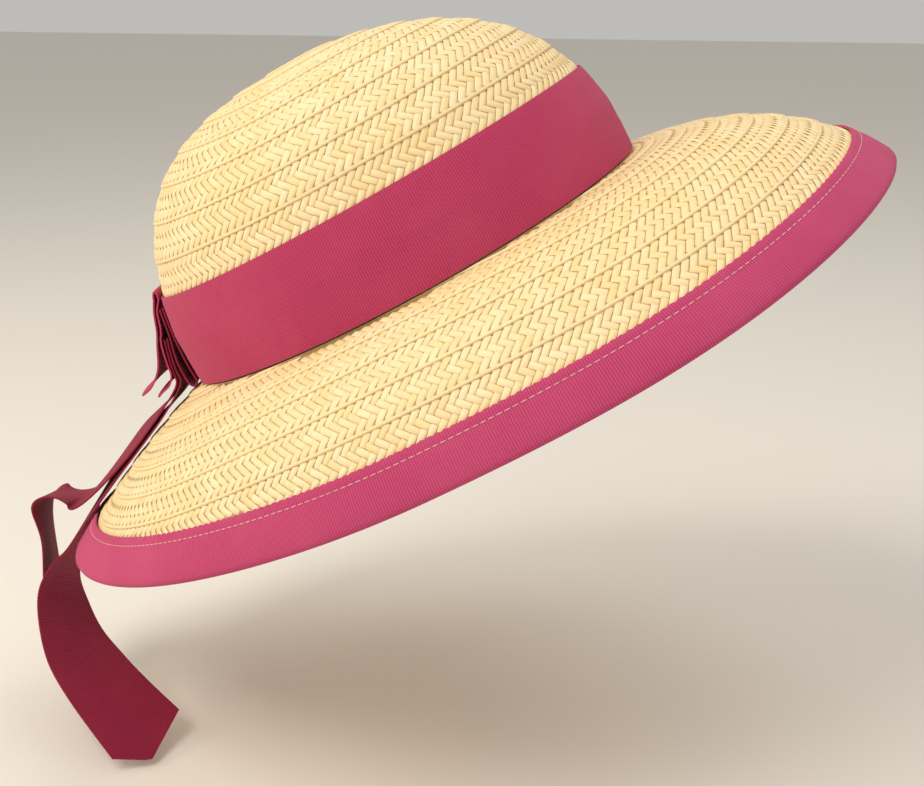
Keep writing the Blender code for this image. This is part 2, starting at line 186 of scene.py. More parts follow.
def tipped(points):
    """Points of the hat's own axes, tipped back as the hat is worn."""
    cosine, sine = math.cos(TILT_BACK), math.sin(TILT_BACK)
    turn = np.array([[cosine, 0, -sine], [0, 1, 0], [sine, 0, cosine]])
    return np.asarray(points) @ turn.T


# %% Profiles of the crown and the brim


def head_line(angle):
    """The oval where the crown meets the brim."""
    return np.stack(
        [
            HEAD_LENGTH / 2 * np.cos(angle),
            HEAD_WIDTH / 2 * np.sin(angle),
            -HEAD_SIDE_DROP * np.sin(angle) ** 2,
        ],
        axis=-1,
    )


def outward(angle):
    """The level direction away from the head."""
    return unit(
        np.stack([np.cos(angle) / HEAD_LENGTH, np.sin(angle) / HEAD_WIDTH, 0 * angle], axis=-1)
    )


def crown_profile(angle, steps):
    """Points up the crown from the head line to the tip."""
    turn = np.linspace(0, 1, steps) ** CROWN_STEP_GROWTH * math.pi / 2
    reach = np.cos(turn).clip(0) ** around(CROWN_FULLNESS, angle)
    reach = reach * (1 - CROWN_TUCK * np.sin(2 * turn))
    lift = np.sin(turn) ** CROWN_SHOULDER
    base = head_line(angle)
    return np.stack(
        [
            base[0] * reach + CROWN_TIP_FORWARD * lift,
            base[1] * reach,
            base[2] * (1 - lift) + CROWN_HEIGHT * lift,
        ],
        axis=1,
    )


def brim_profile(angle, steps):
    """Points across the brim from the head line to its edge."""
    share = np.linspace(0, 1, steps)
    width = around(BRIM_WIDTH, angle) - at_corner(BRIM_CORNER_CUT, angle)
    first = around(HEAD_SLOPE, angle)
    last = around(EDGE_SLOPE, angle) + at_corner(CORNER_SLOPE, angle)
    slope = first + (last - first) * share ** around(SLOPE_GROWTH, angle)
    step = width / (steps - 1)
    middle = (slope[1:] + slope[:-1]) / 2
    out = np.concatenate([[0], np.cumsum(np.cos(middle) * step)])
    down = np.concatenate([[0], np.cumsum(np.sin(middle) * step)])
    points = head_line(angle) + outward(angle) * out[:, None]
    points[:, 2] -= down
    return points


# %% Surfaces that can be asked for any point
ANGLE_STEPS = 480
PROFILE_STEPS = 241


class Surface:
    """A wall of the hat: its points by angle, distance from the head line and height."""

    def __init__(self, profile, is_crown):
        self.is_crown = is_crown
        grid, lengths = [], []
        for turn in turns_round(ANGLE_STEPS):
            line = profile(turn, PROFILE_STEPS)
            reached = distances(line)
            even = np.linspace(0, reached[-1], PROFILE_STEPS)
            grid.append(
                np.stack([np.interp(even, reached, line[:, axis]) for axis in range(3)], axis=1)
            )
            lengths.append(reached[-1])
        self.grid = np.array(grid)
        self.lengths = np.array(lengths)
        along = np.roll(self.grid, -1, axis=0) - np.roll(self.grid, 1, axis=0)
        self.normals = unit(np.cross(along, np.gradient(self.grid, axis=1)))
        if is_crown:
            self.normals[:, -3:] = (0.0, 0.0, 1.0)
        else:
            self.normals *= -1

    def columns(self, angle):
        """The grid's columns on both sides of an angle, and how far it lies between them."""
        place = np.asarray(angle) / (2 * math.pi) * ANGLE_STEPS
        low = np.floor(place).astype(int)
        return low % ANGLE_STEPS, (low + 1) % ANGLE_STEPS, place - low

    def length(self, angle):
        """The distance from the head line to the end of the profile."""
        first, second, part = self.columns(angle)
        return self.lengths[first] * (1 - part) + self.lengths[second] * part

    def read(self, table, angle, distance):
        """A table's value at an angle and a distance, between its grid points."""
        first, second, part = self.columns(angle)
        part = part[..., None]
        share = np.clip(distance / self.length(angle), 0, 1) * (PROFILE_STEPS - 1)
        step = np.minimum(np.floor(share).astype(int), PROFILE_STEPS - 2)
        rest = (share - step)[..., None]
        near = table[first, step] * (1 - rest) + table[first, step + 1] * rest
        far = table[second, step] * (1 - rest) + table[second, step + 1] * rest
        return near * (1 - part) + far * part

    def normal(self, angle, distance):
        """The direction straight out of the wall."""
        return unit(self.read(self.normals, angle, distance))

    def at(self, angle, distance, height=0.0):
        """Points of the wall, raised from it by a height."""
        angle, distance = np.broadcast_arrays(np.asarray(angle, float), np.asarray(distance, float))
        height = np.broadcast_to(np.asarray(height, float), angle.shape)[..., None]
        point = self.read(self.grid, angle, distance)
        return point + self.normal(angle, distance) * height


crown_wall = Surface(crown_profile, True)
brim_wall = Surface(brim_profile, False)
print("crown profile", round(crown_wall.lengths.min(), 4), "to", round(crown_wall.lengths.max(), 4))
print("brim width", round(brim_wall.lengths.min(), 4), "to", round(brim_wall.lengths.max(), 4))

# %% [markdown]
# ## Making meshes
# Small helpers turn rings of points into a closed wall, with a UV map in metres. The map lets
# a weave follow the cloth however it bends.

# %% Mesh helpers


def store(mesh, label, values):
    """Stores a number or a vector on every vertex."""
    values = np.asarray(values, np.float32)
    kind, part = ("FLOAT", "value") if values.ndim == 1 else ("FLOAT_VECTOR", "vector")
    mesh.attributes.new(label, kind, "POINT").data.foreach_set(part, values.ravel())


def put_mesh(name, points, faces, finish, uvs=None, marks=None, smooth_below=50):
    """An object at the origin, with its place in its mesh."""
    mesh = bpy.data.meshes.new(name)
    mesh.from_pydata(np.asarray(points, float).tolist(), [], faces)
    if uvs is not None:
        layer = mesh.uv_layers.new(name="cloth")
        layer.data.foreach_set("uv", np.asarray(uvs, np.float32).ravel())
    for label, values in (marks or {}).items():
        store(mesh, label, values)
    mesh.shade_smooth()
    mesh.set_sharp_from_angle(angle=math.radians(smooth_below))
    mesh.materials.append(finish)
    return new_object(name, mesh)


def ring_wall(name, rings, finish, across, closed=True, marks=None):
    """A wall through rings of points, tipped back; across gives their distances over it."""
    rings = np.array([tipped(ring) for ring in rings])
    count, steps = rings.shape[:2]
    widest = rings[np.argmax([np.ptp(ring[:, 0]) for ring in rings])]
    along = distances(widest, closed=True)
    faces, uvs = [], []
    for ring in range(count if closed else count - 1):
        here, there = ring * steps, (ring + 1) % count * steps
        low = across[ring]
        high = across[ring + 1] if ring + 1 < len(across) else low + 0.001
        for step in range(steps):
            beside = (step + 1) % steps
            faces.append((here + step, here + beside, there + beside, there + step))
            start, end = along[step], along[step + 1]
            uvs += [(start, low), (end, low), (end, high), (start, high)]
    return put_mesh(name, rings.reshape(-1, 3), faces, finish, uvs, marks)


def triangles(piece):
    """How many triangles a piece has."""
    return sum(len(face.vertices) - 2 for face in piece.data.polygons)


# %% [markdown]
# ## Materials
# Straw is a satin, slightly uneven yellow. Each splint has its own tone and fine fibres along its
# length. Below the splints the wall carries painted shade, which draws the thin lines of the plait.
#
# The ribbon is grosgrain: fine ribs run across it, with a soft thread between. The ribs read the
# piece's UV map, so they turn with the ribbon. They carry painted light on their crests and painted
# shade between them.

# %% Node helpers


def new_finish(name, roughness):
    """A material with its shader, ready for more nodes."""
    finish = bpy.data.materials.new(name)
    finish.use_nodes = True
    tree = finish.node_tree
    shader = tree.nodes["Principled BSDF"]
    shader.inputs["Roughness"].default_value = roughness
    return finish, tree, shader


def add_node(tree, kind, settings=None, inputs=None):
    """A node with its settings, and its inputs joined to sockets or set to values."""
    node = tree.nodes.new(kind)
    for key, value in (settings or {}).items():
        setattr(node, key, value)
    for key, value in (inputs or {}).items():
        if isinstance(value, bpy.types.NodeSocket):
            tree.links.new(value, node.inputs[key])
        else:
            node.inputs[key].default_value = value
    return node


def calculate(tree, operation, first, second=None, kind="Math"):
    """A Math node fed by sockets or numbers, or a VectorMath node fed by vectors."""
    inputs = {0: first} if second is None else {0: first, 1: second}
    return add_node(tree, "ShaderNode" + kind, {"operation": operation}, inputs).outputs[0]


def times(tree, first, second):
    """A product of sockets or numbers."""
    return calculate(tree, "MULTIPLY", first, second)


def wave(tree, along, pitch):
    """Ribs of a pitch along a socket, from 0 to 1."""
    turns = calculate(tree, "SINE", times(tree, along, 2 * math.pi / pitch))
    return calculate(tree, "ADD", times(tree, turns, 0.5), 0.5)


def patches(tree, pattern, start, strength):
    """A share that grows where a pattern is above a start."""
    return times(tree, calculate(tree, "SUBTRACT", pattern, start), strength)


def object_place(tree):
    """The place of each point in the object's own axes."""
    return add_node(tree, "ShaderNodeTexCoord").outputs["Object"]


def stored_value(tree, label, output="Fac"):
    """A value stored on the mesh."""
    return add_node(tree, "ShaderNodeAttribute", {"attribute_name": label}).outputs[output]


def cloth_distances(tree):
    """The distances along and across the cloth, from the piece's UV map."""
    chart = add_node(tree, "ShaderNodeUVMap", {"uv_map": "cloth"}).outputs["UV"]
    return add_node(tree, "ShaderNodeSeparateXYZ", inputs={0: chart}).outputs[:2]


def blend_colours(tree, share, first, second):
    """A colour between two, by a share from a socket."""
    ends = [(*value, 1.0) if isinstance(value, tuple) else value for value in (first, second)]
    inputs = {"Factor": share, 6: ends[0], 7: ends[1]}
    return add_node(tree, "ShaderNodeMix", {"data_type": "RGBA"}, inputs).outputs[2]


def noise(tree, vector, scale, detail, roughness=0.5):
    """A soft random pattern, from 0 to 1."""
    inputs = {"Vector": vector, "Scale": scale, "Detail": detail, "Roughness": roughness}
    return add_node(tree, "ShaderNodeTexNoise", inputs=inputs).outputs["Fac"]


def join_shader(tree, shader, colour, height, distance, strength):
    """Gives a shader its colour, and a bump from a height in the range 0 to 1."""
    inputs = {"Height": height, "Distance": distance, "Strength": strength}
    bump = add_node(tree, "ShaderNodeBump", inputs=inputs)
    tree.links.new(bump.outputs["Normal"], shader.inputs["Normal"])
    tree.links.new(colour, shader.inputs["Base Color"])


# %% Straw
STRAW_PALE = (0.93, 0.76, 0.46)
STRAW_WARM = (0.88, 0.66, 0.33)
STRAW_AGED = (0.88, 0.60, 0.22)
# Painted shade: the dark colour shown between the splints and under each row's lip.
STRAW_GAP_SHADE = (0.50, 0.33, 0.14)
# Tints the fibres of the splints, and gives the painted shade in the folds' grooves of the braid
# ground.
STRAW_FIBRE_AND_FOLD_SHADE = (0.62, 0.44, 0.20)
FIBRES_IN_SPLINT = (1.5, 16.0, 1.0)
FIBRE_SCATTER = 37.0
FOLD_PITCH = 0.00195
FOLD_SLANT = 0.9


def make_splint_straw():
    """Straw for the plaited splints, each with its own tone and fibres."""
    finish, tree, shader = new_finish("plaited_straw", 0.48)
    tone = stored_value(tree, "tone")
    place = stored_value(tree, "splint", "Vector")
    place = calculate(tree, "MULTIPLY", place, FIBRES_IN_SPLINT, "VectorMath")
    place = calculate(tree, "ADD", place, times(tree, tone, FIBRE_SCATTER), "VectorMath")
    fibre = noise(tree, place, 1.0, 2.0)
    broad = noise(tree, object_place(tree), 14.0, 2.0)
    colour = blend_colours(tree, tone, STRAW_WARM, STRAW_PALE)
    colour = blend_colours(tree, patches(tree, broad, 0.38, 0.9), colour, STRAW_AGED)
    colour = blend_colours(tree, times(tree, fibre, 0.16), colour, STRAW_FIBRE_AND_FOLD_SHADE)
    shader.inputs["Specular IOR Level"].default_value = 0.45
    join_shader(tree, shader, colour, fibre, 0.00012, 0.7)
    return finish


def make_braid_ground():
    """The wall under the splints: painted shade in the gaps and faintly in the folds,
    straw-coloured on each row's folded edge.
    """
    finish, tree, shader = new_finish("braid_ground", 0.62)
    along, across = cloth_distances(tree)
    slanted = calculate(tree, "ADD", along, times(tree, across, FOLD_SLANT))
    fold = wave(tree, slanted, FOLD_PITCH)
    broad = noise(tree, object_place(tree), 120.0, 3.0)
    light = blend_colours(tree, broad, STRAW_WARM, STRAW_PALE)
    # Faint painted shade in the grooves of the folds, where the bump is lowest.
    light = blend_colours(tree, times(tree, fold, 0.12), light, STRAW_FIBRE_AND_FOLD_SHADE)
    # Painted shade where the lip mark is 0, in the gaps between and under the splints; the lip
    # keeps the straw colour.
    colour = blend_colours(tree, stored_value(tree, "lip"), STRAW_GAP_SHADE, light)
    join_shader(tree, shader, colour, times(tree, fold, -1.0), 0.00015, 0.3)
    return finish


splint_straw = make_splint_straw()
braid_ground = make_braid_ground()
print("straw finishes", splint_straw.name, braid_ground.name)

# %% Ribbon
RIB_PITCH = 0.00105
THREAD_PITCH = 0.00055
THREAD_WANDER = 0.00035


def make_ribbon(name, shade_and_speck, lit, worn):
    """Grosgrain: ribs across the ribbon, a finer thread along them, and faint wear; the ribs carry
    painted light on their crests and painted shade between.
    """
    finish, tree, shader = new_finish(name, 0.82)
    along, across = cloth_distances(tree)
    place = object_place(tree)
    wander = times(tree, noise(tree, place, 220.0, 2.0), THREAD_WANDER)
    rib = wave(tree, calculate(tree, "ADD", along, wander), RIB_PITCH)
    thread = wave(tree, across, THREAD_PITCH)
    speck = noise(tree, place, 1500.0, 2.0, 0.7)
    height = calculate(tree, "ADD", rib, times(tree, thread, 0.35))
    height = calculate(tree, "ADD", height, times(tree, speck, 0.4))
    broad = noise(tree, place, 26.0, 4.0, 0.6)
    # Painted light on the crests of the ribs and painted shade in their valleys; the same dark
    # colour also tints random specks.
    colour = blend_colours(tree, rib, shade_and_speck, lit)
    colour = blend_colours(tree, times(tree, speck, 0.35), colour, shade_and_speck)
    colour = blend_colours(tree, patches(tree, broad, 0.42, 0.8), colour, worn)
    shader.inputs["Specular IOR Level"].default_value = 0.25
    shader.inputs["Sheen Weight"].default_value = 0.12
    shader.inputs["Sheen Roughness"].default_value = 0.5
    shader.inputs["Sheen Tint"].default_value = (1.0, 0.55, 0.62, 1.0)
    join_shader(tree, shader, colour, height, 0.00016, 0.8)
    return finish


band_finish = make_ribbon(
    "band_grosgrain", (0.38, 0.024, 0.090), (0.56, 0.056, 0.140), (0.60, 0.09, 0.16)
)
binding_finish = make_ribbon(
    "binding_grosgrain", (0.42, 0.034, 0.120), (0.60, 0.074, 0.190), (0.64, 0.11, 0.21)
)
# Painted shade: the tails and the bow's loop are the band's own ribbon, painted much darker for
# their sides that lie in shadow.
tail_shade_finish = make_ribbon(
    "tail_grosgrain", (0.20, 0.005, 0.028), (0.31, 0.012, 0.052), (0.36, 0.025, 0.07)
)
print("ribbon finishes", band_finish.name, binding_finish.name, tail_shade_finish.name)


def make_thread():
    """The pale cotton of the top stitching."""
    finish, tree, shader = new_finish("stitch_thread", 0.7)
    spread = noise(tree, object_place(tree), 900.0, 2.0)
    colour = blend_colours(tree, spread, (0.62, 0.24, 0.27), (0.80, 0.46, 0.45))
    join_shader(tree, shader, colour, spread, 0.0001, 0.5)
    return finish


thread_finish = make_thread()

# %% [markdown]
# ## Rows of braid
# A braid is a narrow plait, sewn edge over edge in rows. On the crown each row's lower edge laps
# over the row below. On the brim each row's outer edge laps over the next one out. The rows of the
# brim keep parallel to its edge, so the head opening cuts them off at the sides.
#
# A row is described by its two border lines, as distances from the head line at every angle, and by
# which border is the folded edge, or lip, that shows.

# %% Row borders
LIP_WIDTH = 0.0009
ground_angles = turns_round(200)


def row_border(wall, row, angle):
    """A border line of the rows: counted up from the band, or inwards from the brim's edge."""
    if wall.is_crown:
        start = RIBBON_WIDTH - LAP_STEP
        return start + (wall.length(angle) - start) / CROWN_ROWS * row
    at_back = np.maximum(-np.cos(angle), 0) ** 2
    from_edge = BRIM_FIRST_ROW + BRAID_ROW * row - ROW_RUN_OFF * at_back
    return wall.length(angle) - RIBBON_THICKNESS - PIECE_GAP - from_edge


def row_lines(wall, row, angle):
    """The borders of a row, the one nearer to the head line first."""
    numbers = (row, row + 1) if wall.is_crown else (row + 1, row)
    return [row_border(wall, number, angle) for number in numbers]


# %% The ground under the splints
GROUND_DEPTH = 0.00035
ROW_THICKNESS = 0.0010
# A share of lip below 1 gives painted shade in the braid ground.
ROW_SECTION = [
    # (share of the row's width, distance past it, kind of place, share of lip)
    (0.0, -0.0002, "foot", 0.5),
    (0.0, 0.0, "edge", 1.0),
    (0.0, 0.0004, "crest", 1.0),
    (0.0, 0.0010, "crest", 1.0),
    (0.0, LIP_WIDTH + 0.0003, "ground", 0.0),
    (0.5, 0.0, "ground", 0.0),
    (1.0, -0.0004, "ground", 0.0),
]
PLACE_HEIGHTS = {"foot": -0.0006, "edge": -0.00020, "crest": 0.00002, "ground": -GROUND_DEPTH}
RING_APART = 1e-5


def row_section(wall, outside):
    """The places over a row from its low border to its high one."""
    if wall.is_crown == outside:
        return ROW_SECTION
    return [(1 - share, -past, kind, lip) for share, past, kind, lip in reversed(ROW_SECTION)]


def row_height(wall, share, outside):
    """The plait's height over a row: level with the wall at its lip, a lap lower beyond it."""
    away = share if wall.is_crown else 1 - share
    return -BRAID_LAP * away - (0.0 if outside else ROW_THICKNESS)


def ground_rings(wall, rows, outside, limits):
    """Rings of the wall under the splints, through every row from the lowest border up."""
    out = 1.0 if outside else -1.0
    rings, lips, across = [], [], []
    for number, row in enumerate(rows):
        low, high = row_lines(wall, row, ground_angles)
        for share, past, kind, lip in row_section(wall, outside):
            distance = low + share * (high - low) + past
            across.append(float(np.mean(distance)))
            distance = np.clip(distance, limits[0] + number * RING_APART, limits[1])
            inside_row = np.clip(share + past / BRAID_ROW, 0, 1)
            height = row_height(wall, inside_row, outside) + out * PLACE_HEIGHTS[kind]
            rings.append(wall.at(ground_angles, distance, height))
            lips.append(np.full(len(ground_angles), lip))
    return rings, lips, across


# %% [markdown]
# ## Splints by Geometry Nodes
# The plait is a herringbone of flat splints at 45 degrees to the row, and it repeats thousands of
# times. One small arched splint is modelled. A node tree then places it on guide points, turns it
# to the surface and the row, leans it left or right, gives it a tone of its own, and realizes the
# copies into one mesh.

# %% One splint
SPLINT_STATIONS = [
    # (along, height)
    (-0.50, -0.55),
    (-0.30, 0.05),
    (0.0, 0.28),
    (0.30, 0.05),
    (0.50, -0.55),
]
SPLINT_SECTION = [
    # (across, height)
    (-0.50, -0.60),
    (-0.40, 0.00),
    (0.40, 0.00),
    (0.50, -0.60),
]
SPLINT_RISE = 0.00045


def make_splint():
    """A flat, gently arched splint of unit length and width, its height in metres."""
    points = [
        (along, across, (lift + drop) * SPLINT_RISE)
        for along, lift in SPLINT_STATIONS
        for across, drop in SPLINT_SECTION
    ]
    wide = len(SPLINT_SECTION)
    faces = []
    for station in range(len(SPLINT_STATIONS) - 1):
        for strip in range(wide - 1):
            corner = station * wide + strip
            faces.append((corner, corner + wide, corner + wide + 1, corner + 1))
    splint = put_mesh("splint", points, faces, splint_straw, smooth_below=75)
    store(splint.data, "splint", points)
    return splint


splint = make_splint()
print("one splint has", triangles(splint), "triangles")

# %% The node tree that plaits


def new_tree(name, given, sizes, made, seed=None):
    """A Geometry Nodes tree with its output. Also returns its inputs' sockets by name."""
    tree = bpy.data.node_groups.new(name, "GeometryNodeTree")
    tree.interface.new_socket(given, in_out="INPUT", socket_type="NodeSocketGeometry")
    for label, value in sizes:
        socket = tree.interface.new_socket(label, in_out="INPUT", socket_type="NodeSocketFloat")
        socket.default_value = value
    if seed is not None:
        socket = tree.interface.new_socket("Seed", in_out="INPUT", socket_type="NodeSocketInt")
        socket.default_value = seed
    tree.interface.new_socket(made, in_out="OUTPUT", socket_type="NodeSocketGeometry")
    return tree, tree.nodes.new("NodeGroupInput").outputs


def end_tree(tree, points, shape, turn, size, finish, tone=None):
    """Puts a copy of a shape on each point, realizes the copies and gives them their material."""
    inputs = {"Points": points, "Instance": shape, "Rotation": turn, "Scale": size}
    made = add_node(tree, "GeometryNodeInstanceOnPoints", inputs=inputs).outputs[0]
    if tone is not None:
        settings = {"data_type": "FLOAT", "domain": "INSTANCE"}
        inputs = {"Geometry": made, "Name": "tone", "Value": tone}
        made = add_node(tree, "GeometryNodeStoreNamedAttribute", settings, inputs).outputs[0]
    made = add_node(tree, "GeometryNodeRealizeInstances", inputs={0: made}).outputs[0]
    if tone is None:
        made = add_node(tree, "GeometryNodeSetShadeSmooth", inputs={0: made}).outputs[0]
    inputs = {"Geometry": made, "Material": finish}
    made = add_node(tree, "GeometryNodeSetMaterial", inputs=inputs).outputs[0]
    add_node(tree, "NodeGroupOutput", inputs={0: made})


def build_plait_tree():
    """Guide points in, a plait of realized splints out."""
    sizes = [("Splint Length", 1.0), ("Splint Width", 0.94), ("Splint Rise", 1.0), ("Wander", 0.05)]
    tree, given = new_tree("plait", "Guides", sizes, "Plait", seed=4)

    def stored(label, kind="FLOAT_VECTOR"):
        settings, inputs = {"data_type": kind}, {"Name": label}
        node = add_node(tree, "GeometryNodeInputNamedAttribute", settings, inputs)
        return node.outputs["Attribute"]

    def drawn(inputs):
        inputs["Seed"] = given["Seed"]
        return add_node(tree, "FunctionNodeRandomValue", {"data_type": "FLOAT"}, inputs).outputs[1]

    axes = {"primary_axis": "Z", "secondary_axis": "X"}
    inputs = {0: stored("up"), 1: stored("along")}
    stand = add_node(tree, "FunctionNodeAxesToRotation", axes, inputs).outputs[0]
    wander = drawn({2: times(tree, given["Wander"], -1.0), 3: given["Wander"]})
    inputs = {"Axis": (0.0, 0.0, 1.0)}
    inputs["Angle"] = calculate(tree, "ADD", stored("lean", "FLOAT"), wander)
    turn = add_node(tree, "FunctionNodeAxisAngleToRotation", inputs=inputs).outputs[0]
    settings = {"rotation_space": "LOCAL"}
    leaned = add_node(tree, "FunctionNodeRotateRotation", settings, {0: stand, 1: turn}).outputs[0]
    inputs = {slot: given[label] for slot, (label, value) in enumerate(sizes[:3])}
    lengths = add_node(tree, "ShaderNodeCombineXYZ", inputs=inputs).outputs[0]
    scale = calculate(tree, "MULTIPLY", stored("stretch"), lengths, "VectorMath")
    shape = add_node(tree, "GeometryNodeObjectInfo", inputs={"Object": splint})
    shape = shape.outputs["Geometry"]
    end_tree(tree, given["Guides"], shape, leaned, scale, splint_straw, tone=drawn({}))
    return tree


plait_tree = build_plait_tree()
print("plait tree has", len(plait_tree.nodes), "nodes")

# %% Guides: a point for every splint
COLUMNS_IN_ROW = 3
PLAIT_PITCH = 0.0039
FINE_TURNS = 720
FEWEST_SPLINTS = 5
NEAREST_LINE = 0.0005
LOOK_AHEAD = 0.004
SPLINT_LEAN = math.radians(45)


def set_inputs(modifier, values):
    """Sets a Geometry Nodes modifier's inputs by their identifiers."""
    for item in modifier.node_group.interface.items_tree:
        if item.item_type == "SOCKET" and item.name in values:
            modifier[item.identifier] = values[item.name]


def baked(source, name):
    """A plain mesh object from what a modifier makes, with the source removed."""
    bpy.context.view_layer.update()
    graph = bpy.context.evaluated_depsgraph_get()
    mesh = bpy.data.meshes.new_from_object(source.evaluated_get(graph), depsgraph=graph)
    mesh.name = name
    bpy.data.objects.remove(source, do_unlink=True)
    return new_object(name, mesh)


def row_guides(wall, row, outside, limits):
    """Points, directions, leans and sizes of the splints of one row."""
    fine = turns_round(FINE_TURNS)

    def column_line(column, angle):
        """The distance of a column's middle from the head line, and its width."""
        bottom, top = row_lines(wall, row, angle)
        cell = (top - bottom - LIP_WIDTH) / COLUMNS_IN_ROW
        offset = LIP_WIDTH + cell * (column + 0.5)
        return (bottom + offset if wall.is_crown == outside else top - offset), cell

    def spread(column):
        """The angles at which a column's middle is cut into equal steps."""
        points = wall.at(fine, column_line(column, fine)[0].clip(NEAREST_LINE, None))
        reached = distances(points, closed=True)
        number = max(int(round(reached[-1] / PLAIT_PITCH)), FEWEST_SPLINTS)
        marks = np.arange(number) / number * reached[-1]
        return np.interp(marks, reached, np.append(fine, 2 * math.pi))

    found = []
    middle = spread(1)
    at_tip = wall.is_crown and row == CROWN_ROWS - 1
    for column in range(COLUMNS_IN_ROW):
        turns = spread(column) if at_tip else middle
        gaps = np.diff(np.append(turns, turns[0] + 2 * math.pi))
        turns = turns + gaps * 0.5 * (column % 2)
        distance, cell = column_line(column, turns)
        use = (distance > limits[0]) & (distance < wall.length(turns) - limits[1])
        turns, distance, cell = turns[use], distance[use], cell[use]
        if not len(turns):
            continue
        bottom, top = row_lines(wall, row, turns)
        height = row_height(wall, (distance - bottom) / (top - bottom), outside)
        point = wall.at(turns, distance, height)
        further = turns + LOOK_AHEAD
        drift = column_line(column, further)[0] - column_line(column, turns)[0]
        ahead = wall.at(further, distance + drift, height)
        pitch = np.linalg.norm(ahead - point, axis=1) / LOOK_AHEAD * gaps[use]
        size = [cell * math.sqrt(2), pitch / math.sqrt(2), np.ones(len(turns))]
        found.append(
            {
                "point": point,
                "along": unit(ahead - point),
                "up": wall.normal(turns, distance) * (1.0 if outside else -1.0),
                "lean": np.full(len(turns), SPLINT_LEAN * (1 if column % 2 == 0 else -1)),
                "stretch": np.stack(size, axis=1),
            }
        )
    return found


def plait(name, wall, rows, outside, limits, seed):
    """The splints of many rows on one side of a wall, as one mesh.

    They keep the two limits' distances from the head line and from the wall's end.
    """
    guides = [guide for row in rows for guide in row_guides(wall, row, outside, limits)]
    joined = {key: np.concatenate([guide[key] for guide in guides]) for key in guides[0]}
    mesh = bpy.data.meshes.new(name + "_guides")
    mesh.from_pydata(tipped(joined["point"]).tolist(), [], [])
    for key in ("along", "up", "stretch", "lean"):
        store(mesh, key, tipped(joined[key]) if key in ("along", "up") else joined[key])
    guide = new_object(name + "_guides", mesh)
    modifier = guide.modifiers.new("plait", "NODES")
    modifier.node_group = plait_tree
    set_inputs(modifier, {"Seed": seed})
    made = baked(guide, name)
    print(name, len(joined["lean"]), "splints,", triangles(made), "triangles")
    return made


# %% [markdown]
# ## Crown
# The crown's rows run from under the ribbon up to the tip. Outside, each row's lower edge shows as
# a pale lip. Inside the steps face the other way, because there the lower row lies on top.

# %% Crown ground
CROWN_ROW_NUMBERS = range(CROWN_ROWS)
INSIDE_ROW_NUMBERS = range(-3, CROWN_ROWS)
TIP_HOLE = 0.0012
FOOT_RINGS = (PIECE_GAP, 0.012, 0.024, RIBBON_WIDTH - LAP_STEP - 0.0004)
FOOT_SPANS = [0.0, 0.012, 0.024, 0.036]


def make_crown_ground():
    """The crown's wall under its splints, closed at its lower edge."""
    end = crown_wall.length(ground_angles) - TIP_HOLE
    rings, lips, across = ground_rings(crown_wall, CROWN_ROW_NUMBERS, True, (0.0, end))
    foot = [crown_wall.at(ground_angles, distance, -GROUND_DEPTH) for distance in FOOT_RINGS]
    inside, inside_lips, inside_across = ground_rings(
        crown_wall, INSIDE_ROW_NUMBERS, False, (PIECE_GAP, end)
    )
    rings = inside[::-1] + foot + rings
    lips = inside_lips[::-1] + [np.zeros(len(ground_angles))] * len(foot) + lips
    across = inside_across[::-1] + FOOT_SPANS + across
    piece = ring_wall(
        "crown_ground",
        rings,
        braid_ground,
        across,
        closed=False,
        marks={"lip": np.concatenate(lips)},
    )
    return close_tips(piece)


def close_tips(piece):
    """Fills the small round holes at the crown's tip, inside and outside."""
    count = len(ground_angles)
    mesh = piece.data
    total = len(mesh.vertices)
    holes = [list(range(count - 1, -1, -1)), list(range(total - count, total))]
    points = [vertex.co[:] for vertex in mesh.vertices]
    marks = [value.value for value in mesh.attributes["lip"].data] + [1.0, 1.0]
    uvs = [tuple(corner.uv) for corner in mesh.uv_layers["cloth"].data]
    faces = [tuple(face.vertices) for face in mesh.polygons]
    for hole in holes:
        points.append(tuple(np.mean([points[index] for index in hole], axis=0)))
        for step in range(count):
            faces.append((hole[step], hole[(step + 1) % count], len(points) - 1))
            uvs += [(0.0, 0.0)] * 3
    name, finish = piece.name, mesh.materials[0]
    bpy.data.objects.remove(piece, do_unlink=True)
    bpy.data.meshes.remove(mesh)
    return put_mesh(name, points, faces, finish, uvs, {"lip": marks})


crown_ground = make_crown_ground()
print("crown ground", triangles(crown_ground), "triangles")

# %% Crown splints, outside and inside
OUTER_LIMITS = (0.0, 0.002)
INNER_LIMITS = (COLLAR_HEIGHT + 0.001, 0.002)
crown_plait = plait("crown_plait", crown_wall, CROWN_ROW_NUMBERS, True, OUTER_LIMITS, 11)
crown_lining_plait = plait(
    "crown_inner_plait", crown_wall, INSIDE_ROW_NUMBERS, False, INNER_LIMITS, 12
)

# %% [markdown]
# ## Brim
# The brim bends down all round, most at the sides. Its braid runs parallel to the bound edge, and
# the ribbon hides where the last row ends. A short collar stands up inside the crown, where the
# two are sewn together.

# %% Brim ground
BRIM_ROW_NUMBERS = range(BRIM_ROWS, -2, -1)
BRIM_START = 0.0004
COLLAR_CLOTH = COLLAR_WALL - 0.0004


